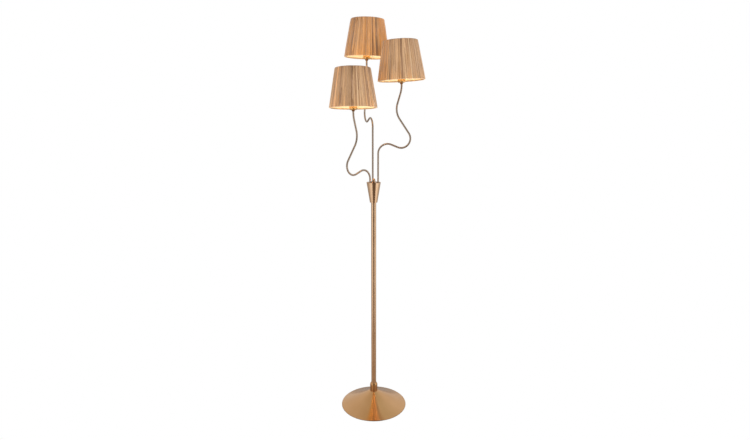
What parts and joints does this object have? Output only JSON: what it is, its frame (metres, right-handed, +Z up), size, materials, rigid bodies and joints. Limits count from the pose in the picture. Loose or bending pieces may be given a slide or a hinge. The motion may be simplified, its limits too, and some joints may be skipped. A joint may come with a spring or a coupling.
{
  "type": "tree floor lamp",
  "caption": "Tree floor lamp: conical weighted base, slim stem, inverted cone cup, serpentine arms at stepped heights carrying tapered raffia shades, bulbs inside.",
  "frame": {"origin": "on the floor, on the stem's axis, at the centre of the base's pad", "axes": "+Z up along the stem; -Y faces the picture's camera, +X to its right, so the cord inlet is behind, on +Y"},
  "size_m": [0.3505, 0.3532, 1.5463],
  "materials": {
    "satin_brass": "satin, fine circular brushing",
    "cast_weight": "rough cast, painted grey",
    "pad_felt": "dense felt",
    "plated_steel": "zinc plated",
    "gland_black": "matte",
    "cable_sheath": "smooth",
    "holder_plastic": "satin",
    "contact_brass": "bright",
    "clamp_plastic": "satin",
    "cap_nickel": "nickel plated",
    "bulb_opal": "opal, lit warm white",
    "raffia": "dry palm fibre, laid upright",
    "lining": "translucent sheet",
    "shade_wire": "satin gold lacquer"
  },
  "bodies": {
    "lamp_frame": {"base_shell": "satin_brass", "base_weight": "cast_weight", "base_pad": "pad_felt", "base_washer": "plated_steel", "pipe_nuts": "plated_steel", "base_pipe": "plated_steel", "cord_gland": "gland_black", "stem_tube": "satin_brass", "stem_plugs": "plated_steel", "stem_collar": "satin_brass", "stem_cable": "cable_sheath", "cup_shell": "satin_brass", "cup_pipe": "plated_steel", "terminal_block": "holder_plastic", "cup_crossbar": "plated_steel", "cup_lid": "satin_brass", "finial": "satin_brass", "arm_ferrules": "satin_brass", "arm_lock_nuts": "plated_steel", "holder_nuts": "satin_brass", "arm_left": "satin_brass", "arm_lead_left": "cable_sheath", "holder_cup_left": "satin_brass", "lampholder_left": "holder_plastic", "socket_contacts_left": "contact_brass", "arm_right": "satin_brass", "arm_lead_right": "cable_sheath", "holder_cup_right": "satin_brass", "lampholder_right": "holder_plastic", "socket_contacts_right": "contact_brass", "arm_rear": "satin_brass", "arm_lead_rear": "cable_sheath", "holder_cup_rear": "satin_brass", "lampholder_rear": "holder_plastic", "socket_contacts_rear": "contact_brass"},
    "shade_left": {"shade_raffia_left": "raffia", "shade_lining_left": "lining", "shade_top_wire_left": "shade_wire", "shade_plate_left": "shade_wire", "shade_carrier_left": "shade_wire"},
    "clamp_left": {"shade_clamp_left": "clamp_plastic"},
    "bulb_left": {"bulb_cap_left": "cap_nickel", "bulb_glass_left": "bulb_opal"},
    "shade_right": {"shade_raffia_right": "raffia", "shade_lining_right": "lining", "shade_top_wire_right": "shade_wire", "shade_plate_right": "shade_wire", "shade_carrier_right": "shade_wire"},
    "clamp_right": {"shade_clamp_right": "clamp_plastic"},
    "bulb_right": {"bulb_cap_right": "cap_nickel", "bulb_glass_right": "bulb_opal"},
    "shade_rear": {"shade_raffia_rear": "raffia", "shade_lining_rear": "lining", "shade_top_wire_rear": "shade_wire", "shade_plate_rear": "shade_wire", "shade_carrier_rear": "shade_wire"},
    "clamp_rear": {"shade_clamp_rear": "clamp_plastic"},
    "bulb_rear": {"bulb_cap_rear": "cap_nickel", "bulb_glass_rear": "bulb_opal"}
  },
  "joints": [
    {"name": "shade_left_turn", "type": "hinge", "parent": "lamp_frame", "child": "shade_left", "pos_m": [-0.07326, -0.0754, 1.22538], "axis": [-0.0083, 0.0428, 0.999], "continuous": true},
    {"name": "clamp_left_lift", "type": "slide", "parent": "lamp_frame", "child": "clamp_left", "axis": [-0.0083, 0.0428, 0.999], "range_m": [0, 0.0198]},
    {"name": "bulb_left_lift", "type": "slide", "parent": "lamp_frame", "child": "bulb_left", "axis": [-0.0083, 0.0428, 0.999], "range_m": [0, 0.026]},
    {"name": "shade_right_turn", "type": "hinge", "parent": "lamp_frame", "child": "shade_right", "pos_m": [0.10134, -0.02524, 1.32467], "axis": [-0.0495, -0.0105, 0.9987], "continuous": true},
    {"name": "clamp_right_lift", "type": "slide", "parent": "lamp_frame", "child": "clamp_right", "axis": [-0.0495, -0.0105, 0.9987], "range_m": [0, 0.0198]},
    {"name": "bulb_right_lift", "type": "slide", "parent": "lamp_frame", "child": "bulb_right", "axis": [-0.0495, -0.0105, 0.9987], "range_m": [0, 0.026]},
    {"name": "shade_rear_turn", "type": "hinge", "parent": "lamp_frame", "child": "shade_rear", "pos_m": [-0.02626, 0.10141, 1.42148], "axis": [0.0258, -0.0307, 0.9992], "continuous": true},
    {"name": "clamp_rear_lift", "type": "slide", "parent": "lamp_frame", "child": "clamp_rear", "axis": [0.0258, -0.0307, 0.9992], "range_m": [0, 0.0198]},
    {"name": "bulb_rear_lift", "type": "slide", "parent": "lamp_frame", "child": "bulb_rear", "axis": [0.0258, -0.0307, 0.9992], "range_m": [0, 0.026]}
  ]
}
